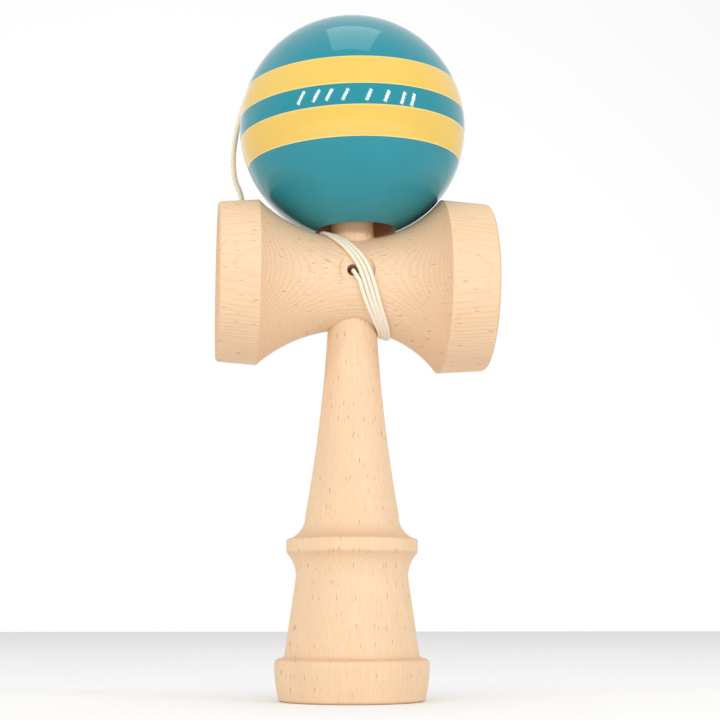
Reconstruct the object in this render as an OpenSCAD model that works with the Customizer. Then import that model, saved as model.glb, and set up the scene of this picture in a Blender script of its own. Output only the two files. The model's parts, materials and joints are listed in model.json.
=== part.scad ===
// Kendama: a turned handle with a spike, a crosspiece with two cups, and a lacquered ball on a string.
// Millimetres. The origin is the centre of the handle's foot, +Z runs up the handle to the spike,
// the string leaves the crosspiece on the -Y side, and the big cup faces +X.

/* [Ball] */
// Diameter of the ball
ball_d = 60; // [52:1:72]
// Diameter of the hole that the spike goes into
ball_hole_d = 20; // [19:0.5:25]
// Width of the bevel round the mouth of that hole
ball_hole_bevel = 0.6; // [0.3:0.1:1.2]
// Wood left between the end of that hole and the top of the ball
ball_roof = 14; // [8:0.5:17]
// Diameter of the string's hole through the roof
string_hole_d = 3; // [2.4:0.1:4]
// Width of the flare where the string's hole opens on top of the ball
string_hole_flare = 1.5; // [0.6:0.1:2]
// Lean of the ball towards the small cup as it rests, in degrees
ball_lean = 1.9; // [0:0.1:3]

/* [Crosspiece] */
// Distance from the handle's middle to the rim of either cup
cup_reach = 35.5; // [31:0.5:43]
// Diameter of the neck between the cups
neck_d = 23.8; // [20:0.2:28]
// Diameter of the big cup at the edge where its side meets the neck's curve
big_edge_d = 45.8; // [40:0.2:52]
// Distance of that edge from the handle's middle
big_edge_x = 23; // [20:0.5:26]
// Diameter of the big cup at its rim
big_rim_d = 44.2; // [39:0.2:52]
// Diameter of the big cup's hollow at the rim
big_hollow_d = 39.6; // [33:0.2:40]
// Radius of the big cup's round hollow
big_hollow_r = 27; // [24:0.5:32]
// Diameter of the small cup at the edge where its side meets the neck's curve
small_edge_d = 43.2; // [38:0.2:50]
// Distance of that edge from the handle's middle
small_edge_x = 25; // [21:0.5:27]
// Diameter of the small cup at its rim
small_rim_d = 41.8; // [37:0.2:50]
// Diameter of the small cup's hollow at the rim
small_hollow_d = 36.4; // [30:0.2:37]
// Radius of the small cup's round hollow
small_hollow_r = 26; // [23:0.5:31]
// Radius that softens the outer corner of each rim
rim_round = 1; // [0.3:0.1:1.5]
// How much wider than the string its hole in the front of the neck is
front_hole_room = 1.6; // [1.2:0.1:2.4]
// Distance of that hole from the handle's middle, towards the small cup
front_hole_offset = 1; // [0:0.1:1.2]
// Angle by which that hole is drilled above the level, in degrees
front_hole_tilt = 7; // [0:1:10]
// Diameter of the flat that the cutter leaves round the hole
flat_d = 9.2; // [6:0.2:11]
// Depth of that flat at its middle
flat_depth = 0.3; // [0.1:0.1:0.6]

/* [Handle] */
// Height of the crosspiece's middle above the foot
cross_z = 107; // [98:1:128]
// Greatest diameter of the base cup
base_d = 39.2; // [34:0.2:47]
// Diameter of the base cup at its foot
foot_d = 37.4; // [33:0.2:45]
// Height of the base cup's side
base_h = 10.6; // [9:0.2:14]
// Diameter of the base cup's hollow at the foot
base_hollow_d = 31; // [26:0.2:32]
// Radius of the base cup's round hollow
base_hollow_r = 20; // [17:0.5:26]
// Diameter of the waist where it stands on the base cup
waist_low_d = 34.2; // [28:0.2:36]
// Diameter of the waist under the ring
waist_high_d = 28.6; // [25:0.2:31]
// Diameter of the ring
ring_d = 33.6; // [32:0.2:38]
// Height of the ring's lower edge above the foot
ring_z = 37; // [32:0.5:43]
// Width of the ring's band
ring_w = 3.4; // [2:0.2:5]
// Diameter of the grip just above the ring
grip_low_d = 24; // [20:0.2:28]
// Diameter of the handle where it enters the crosspiece
socket_low_d = 12.9; // [11.5:0.1:15]
// Diameter of the handle where it leaves the crosspiece as the spike
socket_high_d = 11.5; // [10:0.1:12.5]
// Diameter of the spike near its tip
spike_tip_d = 5.6; // [4:0.2:7]
// How much wider than the string the hole across the handle is, which the string is knotted behind
cross_hole_room = 0.7; // [0.7:0.1:1.2]

/* [String] */
// Diameter of the string
cord_d = 1.5; // [1.2:0.1:1.8]
// Diameter of the bead inside the ball
bead_d = 8; // [6:0.5:10]
// Height of that bead
bead_h = 5; // [3:0.5:6]
// Diameter of each knot
knot_d = 3.9; // [3:0.1:4.4]

/* [Fits] */
// Gap between the resting ball and the crosspiece
ball_gap = 0.2; // [0.1:0.05:0.5]
// Gap between the handle's taper and its socket
socket_gap = 0.02; // [0.01:0.01:0.05]
// Gap between the spike's tip and the knot under the bead
tip_gap = 2.5; // [1:0.5:5]
// Gap between the string and what it passes
cord_gap = 0.08; // [0.05:0.01:0.15]

/* [Hidden] */
$fn = 96;

wraps = 3;
wood_colour = [0.98, 0.86, 0.71];
ball_colour = [0.11, 0.5, 0.57];
bead_colour = [0.72, 0.28, 0.2];
string_colour = [0.96, 0.94, 0.88];

ball_r = ball_d / 2;
ball_hole_r = ball_hole_d / 2;
string_hole_r = string_hole_d / 2;
front_hole_d = cord_d + front_hole_room;
cross_hole_d = cord_d + cross_hole_room;
neck_r = neck_d / 2;
big_edge_r = big_edge_d / 2;
small_edge_r = small_edge_d / 2;
cord_r = cord_d / 2;
knot_h = knot_d * 0.78;

// The neck is one arc on each side, level at the middle and ending in the edge of the cup.
function flank_arc(edge_x, edge_r) = (pow(edge_x, 2) + pow(edge_r - neck_r, 2)) / (2 * (edge_r - neck_r));
big_flank = flank_arc(big_edge_x, big_edge_r);
small_flank = flank_arc(small_edge_x, small_edge_r);
function flank_of(x) = x < 0 ? small_flank : big_flank;
function neck_surface(x) =
    let (in_flank = min(max(x, -small_edge_x), big_edge_x))
    neck_r + flank_of(x) - sqrt(pow(flank_of(x), 2) - pow(in_flank, 2));

// The handle's taper through the crosspiece stands a little out of it at both ends.
taper_out = 0.8;
socket_low_r = socket_low_d / 2;
socket_high_r = socket_high_d / 2;
socket_low_z = cross_z - neck_r - taper_out;
socket_high_z = cross_z + neck_r + taper_out;

// The wraps are pulled tight and lie side by side, closest where they pass the spike and the grip.
wide_pitch = cord_d * 0.67;
close_pitch = cord_d * 0.45;
wide_half = wide_pitch * (wraps - 1) / 2 + cord_r;
close_half = close_pitch * (wraps - 1) / 2 + cord_r;
band_h = cord_d * 1.1;
band_left = -(socket_high_r + close_half + 0.15);
band_right = socket_low_r + close_half + 0.33;
band_shoulder = 0.6;    // share of the winding's half width where its top starts to fall

// The ball rests where a cup's edge, or the neck or the winding under the mouth of its hole, first
// comes within the gap. The mouth leans with the ball.
mouth_r = ball_hole_r + ball_hole_bevel;
mouth_drop = sqrt(pow(ball_r, 2) - pow(mouth_r, 2));
function rest_on_edge(x, r) = r + sqrt(pow(ball_r + ball_gap, 2) - pow(min(x, ball_r), 2));
function along_mouth(x) = min(max((x - mouth_drop * sin(ball_lean)) / cos(ball_lean), -mouth_r), mouth_r);
function rest_on_round(x, r) =
    sqrt(pow(r, 2) - pow(mouth_r, 2) + pow(along_mouth(x), 2)) + ball_gap
    + mouth_drop * cos(ball_lean) - along_mouth(x) * sin(ball_lean);
shoulder_x = band_left - close_half * band_shoulder;
ball_z = cross_z + max(
    rest_on_edge(big_edge_x, big_edge_r),
    rest_on_edge(small_edge_x, small_edge_r),
    rest_on_round(ball_hole_r, neck_surface(ball_hole_r)),
    rest_on_round(-ball_hole_r, neck_surface(-ball_hole_r)),
    rest_on_round(shoulder_x, neck_surface(shoulder_x) + cord_gap + band_h));

// Heights along the ball's own axis, from its middle.
hole_top = ball_r - ball_roof;
bead_low = hole_top - bead_h;
knot_low = bead_low - knot_h;
tip_z = ball_z + knot_low - tip_gap;

// The knot sits in a pocket behind the handle's taper, level with the string's hole in the front.
cross_hole_z = cross_z + socket_low_r * tan(front_hole_tilt);
knot_pocket_d = knot_d + 0.6;
knot_pocket_y = socket_high_r - knot_h - 0.3;

// Points along an arc of the circle round a centre, from one angle to another.
function arc(centre, r, from, to, steps) =
    [for (i = [0:steps]) let (a = from + (to - from) * i / steps) centre + r * [cos(a), sin(a)]];

// Points between two ends, bowed sideways by a sagitta at the middle.
function bowed(a, b, sag, steps) =
    let (across = [a[1] - b[1], b[0] - a[0]] / norm(b - a))
    [for (i = [0:steps]) let (t = i / steps) a + (b - a) * t + across * sag * 4 * t * (1 - t)];

// A fillet that starts straight along a wall at p and flares outward to the width w over the height h.
function flare(p, w, h, way, steps) =
    let (turn = 2 * atan(w / h), r = h / sin(turn))
    [for (i = [0:steps]) let (a = turn * i / steps) [p[0] + r * (1 - cos(a)), p[1] + way * r * sin(a)]];
function reversed(list) = [for (i = [len(list) - 1:-1:0]) list[i]];
function mirrored(list) = [for (p = list) [p[0], -p[1]]];

// A round hollow sunk upwards into a face at z = 0, for a mouth of diameter d and a sphere of radius r.
module hollow(d, r) translate([0, 0, -sqrt(pow(r, 2) - pow(d / 2, 2))]) sphere(r = r);

// ---- handle ----
ring_r = ring_d / 2;
waist_r = waist_high_d / 2;
grip_r = grip_low_d / 2;
spike_tip_r = spike_tip_d / 2;
base_round = 1.3;       // radius on the upper edge of the base cup
base_bow = 0.15;        // how far the base cup's side is dished
flare_low_h = 5.8;      // height of the flare under the ring
flare_high_h = 5.9;     // height of the flare above the ring
ring_soft = 0.25;       // softening of the ring's two edges
grip_bow = 0.7;         // how far the grip is hollowed between the ring and the crosspiece
spike_bow = 0.35;       // how far the spike bellies out
grip_z = ring_z + ring_w + flare_high_h;

function ken_outline() = concat(
    [[0, 0]],
    arc([foot_d / 2 - rim_round, rim_round], rim_round, -90, -6, 6),
    bowed([foot_d / 2 + 0.1, rim_round + 0.6], [base_d / 2, base_h - base_round - 1], -base_bow, 6),
    arc([base_d / 2 - base_round, base_h - base_round], base_round, 4, 84, 6),
    [[waist_low_d / 2 + 0.5, base_h + 0.15], [waist_low_d / 2, base_h + 0.7]],
    flare([waist_r, ring_z - flare_low_h - 0.2], ring_r - waist_r - ring_soft, flare_low_h, 1, 12),
    [[ring_r, ring_z + ring_soft], [ring_r, ring_z + ring_w - ring_soft]],
    reversed(flare([grip_r, grip_z], ring_r - grip_r - ring_soft, flare_high_h, -1, 14)),
    bowed([grip_r, grip_z + 0.2], [socket_low_r, socket_low_z], grip_bow, 18),
    [[socket_high_r, socket_high_z]],
    bowed([socket_high_r - 0.05, socket_high_z + 1.5], [spike_tip_r, tip_z - spike_tip_r], -spike_bow, 8),
    arc([0, tip_z - spike_tip_r], spike_tip_r, 8, 90, 8));

module ken() color(wood_colour) difference() {
    rotate_extrude() polygon(ken_outline());
    hollow(base_hollow_d, base_hollow_r);
    translate([0, 0, cross_hole_z]) rotate([90, 0, 0]) {
        cylinder(h = socket_low_d * 2, d = cross_hole_d, center = true);
        translate([0, 0, -knot_pocket_y - socket_low_d]) cylinder(h = socket_low_d, d = knot_pocket_d);
    }
}

// ---- crosspiece, turned about its own axis, which runs along +X ----
function cup_side(edge_x, edge_r, rim_r) = concat(
    [[edge_r, edge_x]],
    arc([rim_r - rim_round, cup_reach - rim_round], rim_round, 4, 90, 6));
function flank_points(edge_x, steps) =
    [for (i = [1:steps - 1]) let (x = edge_x * i / steps) [neck_surface(x), x]];

function sarado_outline() = concat(
    [[0, -cup_reach]],
    reversed(mirrored(cup_side(small_edge_x, small_edge_r, small_rim_d / 2))),
    reversed(flank_points(-small_edge_x, 20)),
    [[neck_r, 0]],
    flank_points(big_edge_x, 20),
    cup_side(big_edge_x, big_edge_r, big_rim_d / 2),
    [[0, cup_reach]]);

// The tapered bore that the handle is pushed into, a little wider than the handle all the way.
module socket() {
    over = 3;
    rise = socket_high_z - socket_low_z;
    widening = (socket_low_r - socket_high_r) / rise * over;
    translate([0, 0, socket_low_z - over])
        cylinder(h = rise + 2 * over, r1 = socket_low_r + socket_gap + widening,
                 r2 = socket_high_r + socket_gap - widening);
}

module sarado() color(wood_colour) difference() {
    translate([0, 0, cross_z]) rotate([0, 90, 0]) rotate_extrude() polygon(sarado_outline());
    translate([cup_reach, 0, cross_z]) rotate([0, -90, 0]) hollow(big_hollow_d, big_hollow_r);
    translate([-cup_reach, 0, cross_z]) rotate([0, 90, 0]) hollow(small_hollow_d, small_hollow_r);
    socket();
    translate([0, 0, cross_z]) rotate([90 - front_hole_tilt, 0, 0]) {
        translate([-front_hole_offset, 0, 0]) cylinder(h = neck_d, d = front_hole_d);
        translate([0, 0, neck_r - flat_depth]) cylinder(h = neck_r, d = flat_d);
    }
}

// ---- ball and what is inside it, placed along the ball's leaning axis ----
module on_ball_axis(h = 0)
    translate([0, 0, ball_z]) rotate([0, -ball_lean, 0]) translate([0, 0, h]) children();

// The string's hole is drilled from the top and its mouth is countersunk with one cone.
module tama() color(ball_colour) on_ball_axis() difference() {
    sphere(r = ball_r);
    translate([0, 0, -ball_d]) cylinder(h = ball_d + hole_top, d = ball_hole_d);
    translate([0, 0, -mouth_drop - 1])
        cylinder(h = ball_hole_bevel + 1, r1 = mouth_r + 1, r2 = ball_hole_r);
    cylinder(h = ball_d, r = string_hole_r);
    translate([0, 0, ball_r - string_hole_flare])
        cylinder(h = string_hole_flare * 2, r1 = string_hole_r, r2 = string_hole_r + string_hole_flare * 2);
}

module tama_bead() color(bead_colour) on_ball_axis(bead_low) difference() {
    intersection() {
        cylinder(h = bead_h - cord_gap, d = bead_d);
        translate([0, 0, bead_h / 2]) sphere(d = bead_d * 1.08);
    }
    translate([0, 0, -1]) cylinder(h = bead_h + 2, d = cord_d + 0.4);
}

// A knot as the ball of string that it is, flat where it pulls up against a hole.
module knot() intersection() {
    sphere(d = knot_d);
    cylinder(h = knot_h, d = knot_d * 2, center = true);
}
module tama_knot() color(string_colour) on_ball_axis(knot_low + knot_h / 2) knot();
module stem_knot() color(string_colour)
    translate([0, knot_pocket_y + knot_h / 2, cross_hole_z]) rotate([90, 0, 0]) knot();

// ---- winding: a band of wraps round the neck ----
// It passes the spike on the small cup's side and the grip on the big cup's side. The angle a runs
// from the top of the neck, forwards and down. In front the band sags towards the big cup.
band_sag = 1.95;
band_skew = 3.4;
function band_x(a) = band_left + (band_right - band_left) * (1 - cos(a)) / 2
    + (a < 180 ? pow(sin(a), 2) * (band_sag + band_skew * cos(a)) : 0);
function band_half(a) = wide_half + (close_half - wide_half) * pow(cos(a), 2);
function band_slope(a) = (band_x(a + 1) - band_x(a - 1)) / (2 * neck_r * PI / 180);
function band_stretch(a) = sqrt(1 + pow(band_slope(a), 2));

// A point beside the neck: how far along it, the angle round it and the distance from its wood.
function by_neck(x, a, lift) =
    let (r = neck_surface(x) + lift) [x, -r * sin(a), cross_z + r * cos(a)];

function band_ring(a) =
    let (x = band_x(a), w = band_half(a) * band_stretch(a), top_w = w * band_shoulder,
         h = cord_gap + band_h, side_h = h * 0.6)
    [by_neck(x - w, a, cord_gap), by_neck(x + w, a, cord_gap), by_neck(x + w, a, side_h),
     by_neck(x + top_w, a, h), by_neck(x - top_w, a, h), by_neck(x - w, a, side_h)];

module cord_winding() color(string_colour) {
    stations = 60;
    corners = 6;
    points = [for (i = [0:stations - 1]) each band_ring(360 * i / stations)];
    skin = [for (i = [0:stations - 1]) for (k = [0:corners - 1])
            let (j = (i + 1) % stations, m = (k + 1) % corners)
            each [[i * corners + k, i * corners + m, j * corners + m],
                  [i * corners + k, j * corners + m, j * corners + k]]];
    polyhedron(points, skin, convexity = 6);
}

// ---- free string, swept along a route ----
// Each ring of points is carried along the route without twisting.
function unit(v) = v / norm(v);
function way(route, i) = unit(route[min(i + 1, len(route) - 1)] - route[max(i - 1, 0)]);
function flattened(v, t) = unit(v - (v * t) * t);
function sideways(route, i, last) =
    i == len(route) ? [] : let (n = flattened(last, way(route, i))) concat([n], sideways(route, i + 1, n));
function ring_at(c, t, n, r, sides) =
    [for (k = [0:sides - 1]) c + r * (cos(360 * k / sides) * n + sin(360 * k / sides) * cross(t, n))];

module cord_tube(route, start_side) {
    sides = 8;
    rings = len(route);
    across = sideways(route, 0, start_side);
    points = [for (i = [0:rings - 1]) each ring_at(route[i], way(route, i), across[i], cord_r, sides)];
    skin = [for (i = [0:rings - 2]) for (k = [0:sides - 1]) let (j = i + 1, m = (k + 1) % sides)
            [i * sides + k, j * sides + k, j * sides + m, i * sides + m]];
    first = [for (k = [0:sides - 1]) k];
    last = [for (k = [sides - 1:-1:0]) (rings - 1) * sides + k];
    polyhedron(points, concat([first], skin, [last]), convexity = 6);
}

// From the knot behind the handle, through the front hole, and down along the left edge of the winding.
function beside_band(a) =
    by_neck(band_x(a) - (band_half(a) + cord_r + cord_gap) * band_stretch(a), a, cord_gap + cord_r);
lead_route = concat([
    [0, knot_pocket_y, cross_hole_z],
    [0, -1, cross_hole_z],
    [-0.3, -socket_low_r, cross_hole_z],
    [-0.8, -neck_r + 2.5, cross_hole_z + 0.4],
    [-1.1, -neck_r + 0.5, cross_hole_z + 0.5],
], [for (a = [88:7:137]) beside_band(a)]);
module cord_lead() color(string_colour) cord_tube(lead_route, [1, 0, 0]);

// From the back of the winding, slack behind the small cup, up the ball and in through its roof.
// The slack is what the string gives out when the ball is lifted off the spike.
run_start = 285;
run_by_neck = [ // share of the way to the small cup's edge, angle round the neck, gap above the wood
    [0.06, run_start, cord_gap + band_h + 0.1],
    [0.12, 293, 2.6], [0.19, 300, 3.9], [0.28, 303, 4.8], [0.37, 301, 4.6], [0.46, 292, 3.5],
    [0.54, 280, 2.6], [0.62, 266, 2.6], [0.71, 254, 3.6], [0.81, 246, 4.7], [0.9, 243, 5],
    [1, 244, 3.9], [1.06, 250, 3], [1.08, 262, 1.6], [1.08, 276, 0.9], [1.08, 291, 1.1],
    [1.09, 306, 2.4], [1.11, 319, 4.8],
];
run_by_ball = [ // compass angle round the ball, angle above its middle, gap above the lacquer
    [152, -25, 5.4], [155, -18, 4.8], [157, -11.5, 3.9], [159, -5, 2.8], [160, 2, 1.9], [161, 10, 1.2],
    [162, 19, 0.7], [162, 28, 0.4], [162, 39, 0.3], [162, 50, 0.4], [162, 61, 0.6], [162, 71, 0.9],
    [163, 78.5, 1.2], [165, 83, 1], [169, 86, 0.1],
];
function by_ball(turn, up, gap) =
    let (r = ball_r + cord_r + gap) [r * cos(up) * cos(turn), r * cos(up) * sin(turn), ball_z + r * sin(up)];
function on_axis(h) = [-h * sin(ball_lean), 0, ball_z + h * cos(ball_lean)];
run_route = concat(
    [for (p = run_by_neck) by_neck(-small_edge_x * p[0], p[1], p[2] + cord_r)],
    [for (p = run_by_ball) by_ball(p[0], p[1], p[2])],
    [for (h = [ball_r - 1, ball_r - 4, hole_top + 4, hole_top, bead_low]) on_axis(h)]);
module cord_run() color(string_colour) cord_tube(run_route, [0, -1, 0]);

ken();
sarado();
tama();
tama_bead();
tama_knot();
stem_knot();
cord_lead();
cord_winding();
cord_run();
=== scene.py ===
"""The looks of a kendama: two beech turnings, a lacquered ball and a braided string.

The operators build the string and the ball in the places that the CAD model gives them, and give the
handle and the crosspiece their wood. Lengths in the property groups are metres. The string's route
is worked out in millimetres.
"""

import json
import math

import bpy
from bpy.props import FloatProperty, FloatVectorProperty, IntProperty, PointerProperty
from bpy.types import Operator, Panel, PropertyGroup
from mathutils import Matrix, Vector


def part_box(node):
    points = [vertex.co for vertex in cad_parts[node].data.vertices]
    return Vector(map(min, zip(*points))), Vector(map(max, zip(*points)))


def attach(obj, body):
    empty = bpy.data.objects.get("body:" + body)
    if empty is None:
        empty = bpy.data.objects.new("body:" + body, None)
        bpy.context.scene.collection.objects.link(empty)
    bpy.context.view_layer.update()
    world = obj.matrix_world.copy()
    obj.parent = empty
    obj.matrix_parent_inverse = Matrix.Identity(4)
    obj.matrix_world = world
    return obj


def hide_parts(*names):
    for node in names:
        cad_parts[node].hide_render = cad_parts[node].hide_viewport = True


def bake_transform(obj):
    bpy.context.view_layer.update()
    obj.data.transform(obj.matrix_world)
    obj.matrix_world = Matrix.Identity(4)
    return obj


bl_info = {
    "name": "Kendama",
    "version": (1, 0, 0),
    "blender": (4, 5, 0),
    "location": "3D View > Sidebar > Kendama",
    "description": "Builds the string, the lacquered ball and the wood of a kendama",
    "category": "Object",
}

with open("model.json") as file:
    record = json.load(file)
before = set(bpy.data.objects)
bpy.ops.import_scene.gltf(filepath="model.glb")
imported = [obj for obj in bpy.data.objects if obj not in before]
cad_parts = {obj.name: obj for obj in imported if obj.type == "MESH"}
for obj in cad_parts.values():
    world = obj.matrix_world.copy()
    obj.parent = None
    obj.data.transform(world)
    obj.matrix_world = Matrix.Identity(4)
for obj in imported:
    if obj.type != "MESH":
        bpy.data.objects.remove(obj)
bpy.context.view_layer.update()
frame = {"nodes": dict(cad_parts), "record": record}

MM = 0.001
HANDLE_BODY = "handle"
STRING_BODY = "string_end"
BALL_BODY = "ball"


def node_box(name):
    """The lowest and highest corners of a CAD node, in millimetres."""
    low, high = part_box(name)
    return Vector(low) / MM, Vector(high) / MM


def joint(name):
    """The joint of that name, with its place and its axis."""
    return next(j for j in frame["record"]["behaviour"]["joints"] if j["name"] == name)


# ---- places taken from the CAD model, in millimetres ----
SARADO_LOW, SARADO_HIGH = node_box("sarado")
CROSS_Z = (SARADO_LOW.z + SARADO_HIGH.z) / 2
BALL_CENTRE = Vector(joint("tama_spin")["pos_m"]) / MM
BALL_AXIS = Vector(joint("tama_spin")["axis"]).normalized()
BALL_LOW, BALL_HIGH = node_box("tama")
# Rounded, because the CAD mesh has flat facets and its box is a hair smaller than the ball.
BALL_R = round((BALL_HIGH.y - BALL_LOW.y) / 2, 1)
BEAD_LOW, BEAD_HIGH = node_box("tama_bead")
STEM_KNOT_LOW, STEM_KNOT_HIGH = node_box("stem_knot")

# ---- the neck that the string is wound on, in millimetres ----
# Its radius at the middle, and the distance from there and the radius of each cup's edge.
NECK_R = 11.9
BIG_EDGE = (23.0, 22.9)
SMALL_EDGE = (25.0, 21.6)
# Radius of the tapered hole for the handle at the bottom and at the top of the neck.
SOCKET_LOW_R = 6.45
SOCKET_HIGH_R = 5.75

# ---- the string, in millimetres ----
CORD_D = 1.5
CORD_R = CORD_D / 2
# Pulled tight, as it is in the winding, the string is thinner.
TIGHT_R = CORD_R * 0.71
# Gap between the winding and the wood.
CORD_GAP = 0.08
# Height of the knot in the handle and of the front hole that the string comes out of.
CROSS_HOLE_Z = (STEM_KNOT_LOW.z + STEM_KNOT_HIGH.z) / 2

# The winding is a band of three wraps. Its middle passes the spike on the small cup's side at the top
# of the neck, and the grip on the big cup's side at the bottom. In front, the sag pulls it towards the
# big cup, and the skew adds to that above the neck's middle and takes from it below.
WRAP_PITCH = CORD_D * 0.45
BAND_HALF = WRAP_PITCH + CORD_R
SPIKE_CLEARANCE = 0.15
GRIP_CLEARANCE = 0.33
BAND_LEFT = -(SOCKET_HIGH_R + BAND_HALF + SPIKE_CLEARANCE)
BAND_RIGHT = SOCKET_LOW_R + BAND_HALF + GRIP_CLEARANCE
BAND_SAG = 1.95
BAND_SKEW = 3.4


def linear(hex_colour):
    """The linear colour of six sRGB hex digits."""
    shares = [int(hex_colour[i:i + 2], 16) / 255 for i in (0, 2, 4)]
    return [s / 12.92 if s <= 0.04045 else ((s + 0.055) / 1.055) ** 2.4 for s in shares] + [1.0]


class KendamaString(PropertyGroup):
    diameter: FloatProperty(
        name="Diameter", description="Diameter of the braided string", default=CORD_D * MM,
        min=0.0012, max=0.0018, unit="LENGTH", precision=4)
    strands: IntProperty(
        name="Strands", description="Strands of the braid that run each way round", default=4, min=3, max=8)
    bead_diameter: FloatProperty(
        name="Bead diameter", description="Greatest diameter of the bead inside the ball", default=8.0 * MM,
        min=0.006, max=0.01, unit="LENGTH", precision=4)
    bead_height: FloatProperty(
        name="Bead height", description="Height of that bead", default=4.9 * MM,
        min=0.003, max=0.006, unit="LENGTH", precision=4)
    lay: FloatProperty(
        name="Lay", description="Length of string in which a strand goes once round", default=6.4 * MM,
        min=0.003, max=0.012, unit="LENGTH", precision=4)
    relief: FloatProperty(
        name="Relief", description="How far the strands stand out of the string", default=0.035 * MM,
        min=0.0, max=0.0002, unit="LENGTH", precision=5)
    colour: FloatVectorProperty(
        name="Colour", description="Colour on the strands' crowns", default=linear("F5EBDA"), size=4,
        min=0.0, max=1.0, subtype="COLOR")
    # Painted shade: a darker colour for where the strands dive under each other, standing in for the shade
    # in the braid's gaps.
    gap_shade_colour: FloatVectorProperty(
        name="Gap colour", description="Colour where the strands dive under each other",
        default=linear("CDB897"), size=4, min=0.0, max=1.0, subtype="COLOR")


class KendamaBall(PropertyGroup):
    belt_height: FloatProperty(
        name="Belt height", description="Height of the middle between the bands above the ball's middle",
        default=-0.25 * MM, min=-0.005, max=0.005, unit="LENGTH", precision=5)
    band_inner: FloatProperty(
        name="Band start", description="Distance of each band's inner edge from the middle between them",
        default=2.7 * MM, min=0.0, max=0.01, unit="LENGTH", precision=4)
    band_outer: FloatProperty(
        name="Band end", description="Distance of each band's outer edge from the middle between them",
        default=10.4 * MM, min=0.005, max=0.02, unit="LENGTH", precision=4)
    spike_hole: FloatProperty(
        name="Spike hole", description="Radius of the hole that the spike goes into", default=10.0 * MM,
        min=0.0095, max=0.0125, unit="LENGTH", precision=4)
    hole_top: FloatProperty(
        name="Hole top", description="Height of that hole's end above the ball's middle", default=16.0 * MM,
        min=0.013, max=0.022, unit="LENGTH", precision=4)
    string_hole: FloatProperty(
        name="String hole", description="Radius of the string's hole through the top", default=1.5 * MM,
        min=0.0012, max=0.002, unit="LENGTH", precision=4)
    ground_colour: FloatVectorProperty(
        name="Ground colour", description="Colour of the lacquer outside the bands",
        default=linear("00828F"), size=4, min=0.0, max=1.0, subtype="COLOR")
    ground_cloud: FloatVectorProperty(
        name="Ground cloud", description="The ground colour where the lacquer is thicker",
        default=linear("048A98"), size=4, min=0.0, max=1.0, subtype="COLOR")
    band_colour: FloatVectorProperty(
        name="Band colour", description="Colour of the lacquer in the two bands",
        default=linear("E3BC52"), size=4, min=0.0, max=1.0, subtype="COLOR")
    band_cloud: FloatVectorProperty(
        name="Band cloud", description="The bands' colour where the lacquer is thicker",
        default=linear("E8C25E"), size=4, min=0.0, max=1.0, subtype="COLOR")


class KendamaWood(PropertyGroup):
    ring_width: FloatProperty(
        name="Ring width", description="Width of one year's growth in the beech", default=0.9 * MM,
        min=0.0005, max=0.004, unit="LENGTH", precision=4)
    fleck_length: FloatProperty(
        name="Fleck length", description="Length of the dark flecks along the grain", default=1.8667 * MM,
        min=0.001, max=0.006, unit="LENGTH", precision=4)
    colour: FloatVectorProperty(
        name="Colour", description="Palest colour of the wood", default=linear("EFD3B1"), size=4,
        min=0.0, max=1.0, subtype="COLOR")
    deep_colour: FloatVectorProperty(
        name="Deep colour", description="Colour of the wood's deeper patches", default=linear("E9C59F"),
        size=4, min=0.0, max=1.0, subtype="COLOR")


class KendamaStage(PropertyGroup):
    camera_place: FloatVectorProperty(
        name="Camera", description="Place of the camera", default=(-0.04268, -0.39269, 0.0206),
        subtype="TRANSLATION", precision=5)
    camera_aim: FloatVectorProperty(
        name="Aim", description="Direction that the camera looks in", default=(0.1116, 0.9798, 0.1657),
        subtype="DIRECTION", precision=4)
    lens: FloatProperty(
        name="Lens", description="Focal length of the camera in millimetres", default=76.8,
        min=20.0, max=200.0)
    overhead_glow: FloatProperty(
        name="Overhead glow", description="Radiance of the softbox over the object", default=1.15, min=0.0)
    strip_glow: FloatProperty(
        name="Strip glow", description="Radiance of each strip light in front of the object", default=22.0,
        min=0.0)
    floor_size: FloatProperty(
        name="Floor size", description="Width of the floor", default=4.0, min=1.0, max=10.0, unit="LENGTH")


# ---- node trees ----
def add_node(tree, kind, inputs, **settings):
    """A new node with its settings, and its inputs set to values or linked to other nodes' sockets.

    Inputs go by their name or their number. A Mix of colours has its share at 0 and its colours at 6
    and 7. A MapRange takes the range from 1 to 2 and gives the range from 3 to 4.
    """
    node = tree.nodes.new("ShaderNode" + kind)
    for name, value in settings.items():
        setattr(node, name, value)
    for key, value in inputs.items():
        if isinstance(value, bpy.types.NodeSocket):
            tree.links.new(value, node.inputs[key])
        else:
            node.inputs[key].default_value = value
    return node


def repeats(*sizes):
    """Mapping scales, from metres, for a pattern of this size in millimetres, or of one size per axis."""
    return [1 / (size * MM) for size in (sizes * 3)[:3]]


def new_material(name):
    """A new material, and its node tree, which is empty."""
    material = bpy.data.materials.new(name)
    material.use_nodes = True
    tree = material.node_tree
    tree.nodes.clear()
    return material, tree


def finish_material(tree, shader):
    """Gives the material this shader as its surface."""
    add_node(tree, "OutputMaterial", {"Surface": shader.outputs["BSDF"]})


# ---- materials ----
# The wood's patterns are in millimetres, with the grain along their first axis. The growth layers bow
# with this radius and wave by this much. Those of the crosspiece bow about this height.
LAYER_BOW_R = 80
LAYER_WAVE = 0.9
CROSS_HEART_Z = CROSS_Z + 3
# Ray flecks: drawn 0.31 mm wide, where real ones are about 0.15 mm, so that they show.
FLECK_WIDTH = 0.31
FLECK_DEPTH = 2.5
# Distance from its cell's point at which a fleck starts to fade and at which it ends, as shares of a cell.
FLECK_FADE = 0.13
FLECK_EDGE = 0.25


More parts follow.
